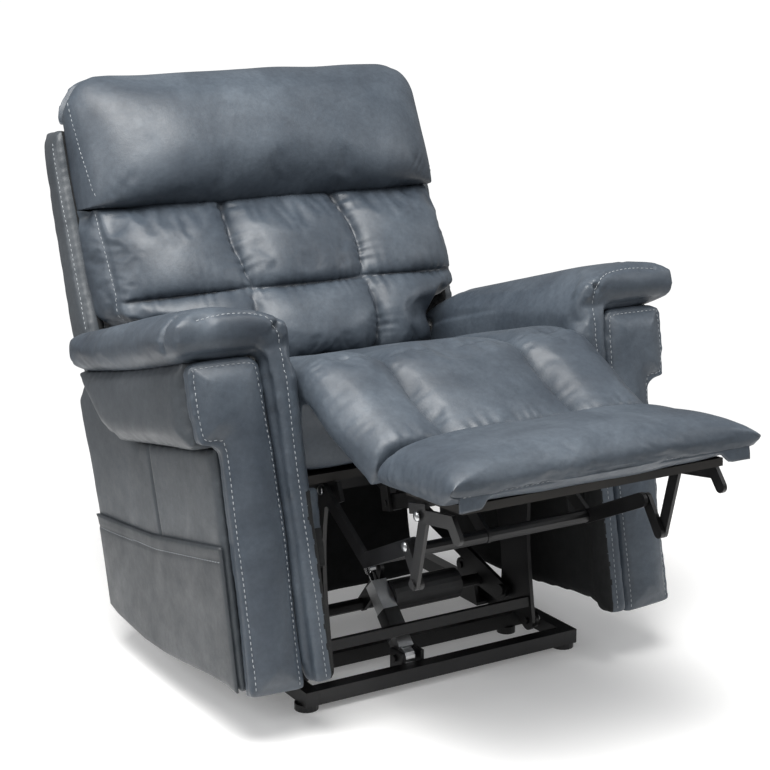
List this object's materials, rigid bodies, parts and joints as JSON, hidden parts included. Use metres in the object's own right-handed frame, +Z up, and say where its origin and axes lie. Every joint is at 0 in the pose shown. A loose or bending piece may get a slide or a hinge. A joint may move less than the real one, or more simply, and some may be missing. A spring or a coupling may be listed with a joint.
{
  "type": "lift recliner chair",
  "caption": "Upholstered power lift recliner with padded arms, biscuit-tufted back, articulated footrest and a steel lift base.",
  "frame": {"origin": "on the floor under the centre of the whole chair as it stands at rest, leaned back with the footrest part raised", "axes": "+Z up, the sitter faces -Y, +X to the right of a person facing the chair"},
  "size_m": [0.958, 1.2156, 0.968],
  "materials": {
    "leather": "blue-grey leather, soft satin, pull-up colour variation",
    "side_leather": "blue-grey leather match, slightly flatter and more neutral",
    "dark_cloth": "dark dust cloth",
    "black_steel": "black semi-gloss powder coat",
    "aluminium_rail": "drawn aluminium channel",
    "chrome_rod": "bright plated rod",
    "black_plastic": "moulded plastic",
    "plywood": "plywood stained black"
  },
  "bodies": {
    "base": {"base_front_tube": "black_steel", "base_mid_tube": "black_steel", "base_rear_tube": "black_steel", "base_side_tube_left": "black_steel", "base_side_tube_right": "black_steel"},
    "lift_link": {"lift_link_left": "black_steel", "lift_link_right": "black_steel", "lift_torque_tube": "black_steel"},
    "rear_link": {"rear_link_left": "black_steel", "rear_link_right": "black_steel"},
    "lift_actuator": {"lift_actuator_rail": "aluminium_rail", "lift_actuator_motor": "black_plastic"},
    "lift_actuator_rod": {"lift_actuator_rod": "chrome_rod"},
    "carriage": {"mechanism_side_plate_left": "black_steel", "mechanism_side_plate_right": "black_steel", "carriage_front_tube": "black_steel", "seat_mid_tube": "black_steel", "seat_rear_tube": "black_steel", "seat_deck": "plywood", "power_supply_box": "black_plastic", "seat_cushion": "leather", "seat_side_valance_left": "dark_cloth", "seat_side_valance_right": "dark_cloth", "arm_inner_panel_left": "leather", "arm_inner_panel_right": "leather", "arm_outer_panel_left": "side_leather", "arm_outer_panel_right": "side_leather", "arm_wing_left": "side_leather", "arm_wing_right": "side_leather", "arm_front_panel_left": "side_leather", "arm_front_panel_right": "side_leather", "arm_front_rail_left": "leather", "arm_front_rail_right": "leather", "arm_top_pad_left": "leather", "arm_top_pad_right": "leather"},
    "backrest": {"back_rail_left": "black_steel", "back_rail_right": "black_steel", "back_wing_left": "side_leather", "back_wing_right": "side_leather", "back_lower_tube": "black_steel", "back_upper_tube": "black_steel", "back_rear_panel": "side_leather", "back_cushion": "leather"},
    "headrest": {"headrest_cushion": "leather"},
    "back_actuator": {"back_actuator_body": "black_plastic"},
    "back_actuator_rod": {"back_actuator_rod": "chrome_rod"},
    "calf_rest": {"calf_pad": "leather"},
    "ottoman": {"ottoman_cushion": "leather", "ottoman_board": "plywood", "ottoman_bracket_left": "black_steel", "ottoman_bracket_right": "black_steel"},
    "footrest_arms": {"footrest_arm_left": "black_steel", "footrest_arm_right": "black_steel", "footrest_cross_tube": "black_steel"},
    "scissor_rear": {"scissor_link_rear_left": "black_steel", "scissor_link_rear_right": "black_steel"},
    "scissor_front": {"scissor_link_front_left": "black_steel", "scissor_link_front_right": "black_steel"},
    "footrest_actuator": {"footrest_actuator_body": "black_plastic"},
    "footrest_actuator_rod": {"footrest_actuator_rod": "chrome_rod"}
  },
  "joints": [
    {"name": "chair_lift", "type": "hinge", "parent": "base", "child": "lift_link", "pos_m": [0, 0.10017, 0.0828], "axis": [-1, 0, 0], "range_deg": [0, 34.08]},
    {"name": "carriage_tilt", "type": "hinge", "parent": "lift_link", "child": "carriage", "pos_m": [0, -0.12784, 0.05], "axis": [1, 0, 0], "range_deg": [0, 66.08]},
    {"name": "rear_link_swing", "type": "hinge", "parent": "base", "child": "rear_link", "pos_m": [0, 0.29426, 0.1917], "axis": [-1, 0, 0], "range_deg": [0, 25.59]},
    {"name": "lift_actuator_swing", "type": "hinge", "parent": "base", "child": "lift_actuator", "pos_m": [0, -0.13384, 0.04], "axis": [1, 0, 0], "range_deg": [-0.83155, 0]},
    {"name": "lift_actuator_extend", "type": "slide", "parent": "lift_actuator", "child": "lift_actuator_rod", "axis": [0, 0.7041, 0.7101], "range_m": [0, 0.08141]},
    {"name": "back_recline", "type": "hinge", "parent": "carriage", "child": "backrest", "pos_m": [0, 0.29447, 0.37968], "axis": [-1, 0, 0], "range_deg": [0, 50]},
    {"name": "back_actuator_swing", "type": "hinge", "parent": "carriage", "child": "back_actuator", "pos_m": [0, 0.08025, 0.26164], "axis": [1, 0, 0], "range_deg": [-6.35, 0]},
    {"name": "back_actuator_extend", "type": "slide", "parent": "back_actuator", "child": "back_actuator_rod", "axis": [0, 0.9614, 0.2751], "range_m": [-0.05806, 0]},
    {"name": "headrest_tilt", "type": "hinge", "parent": "backrest", "child": "headrest", "pos_m": [0, 0.41593, 0.75871], "axis": [1, 0, 0], "range_deg": [0, 30]},
    {"name": "footrest_raise", "type": "hinge", "parent": "carriage", "child": "calf_rest", "pos_m": [0, -0.16787, 0.53725], "axis": [-1, 0, 0], "range_deg": [-50, 20]},
    {"name": "ottoman_fold", "type": "hinge", "parent": "calf_rest", "child": "ottoman", "pos_m": [0, -0.38845, 0.46146], "axis": [-1, 0, 0], "range_deg": [-15, 6]},
    {"name": "footrest_arm_swing", "type": "hinge", "parent": "carriage", "child": "footrest_arms", "pos_m": [0, -0.14264, 0.36065], "axis": [-1, 0, 0], "range_deg": [-51.95, 20.78]},
    {"name": "scissor_rear_swing", "type": "hinge", "parent": "footrest_arms", "child": "scissor_rear", "pos_m": [0, -0.41182, 0.34671], "axis": [-1, 0, 0], "range_deg": [-37.6, 15.04]},
    {"name": "scissor_front_swing", "type": "hinge", "parent": "ottoman", "child": "scissor_front", "pos_m": [0, -0.47167, 0.4129], "axis": [-1, 0, 0], "range_deg": [-32.74, 81.85]},
    {"name": "footrest_actuator_swing", "type": "hinge", "parent": "carriage", "child": "footrest_actuator", "pos_m": [0, -0.0102, 0.27044], "axis": [1, 0, 0], "range_deg": [-3.33, 8.31]},
    {"name": "footrest_actuator_extend", "type": "slide", "parent": "footrest_actuator", "child": "footrest_actuator_rod", "axis": [0, -0.9428, 0.3334], "range_m": [-0.0448, 0.01792]}
  ],
  "couplings": [
    {"joint": "carriage_tilt", "follows": "chair_lift", "ratio": 1.939},
    {"joint": "rear_link_swing", "follows": "chair_lift", "ratio": 0.7509},
    {"joint": "lift_actuator_swing", "follows": "chair_lift", "ratio": -0.0244},
    {"joint": "lift_actuator_extend", "follows": "chair_lift", "m_per_rad": 0.13686},
    {"joint": "back_actuator_swing", "follows": "back_recline", "ratio": -0.127},
    {"joint": "back_actuator_extend", "follows": "back_recline", "m_per_rad": -0.066537},
    {"joint": "ottoman_fold", "follows": "footrest_raise", "ratio": 0.3},
    {"joint": "footrest_arm_swing", "follows": "footrest_raise", "ratio": 1.039},
    {"joint": "scissor_rear_swing", "follows": "footrest_raise", "ratio": 0.752},
    {"joint": "scissor_front_swing", "follows": "footrest_raise", "ratio": -1.637},
    {"joint": "footrest_actuator_swing", "follows": "footrest_raise", "ratio": -0.1663},
    {"joint": "footrest_actuator_extend", "follows": "footrest_raise", "m_per_rad": 0.051339}
  ]
}
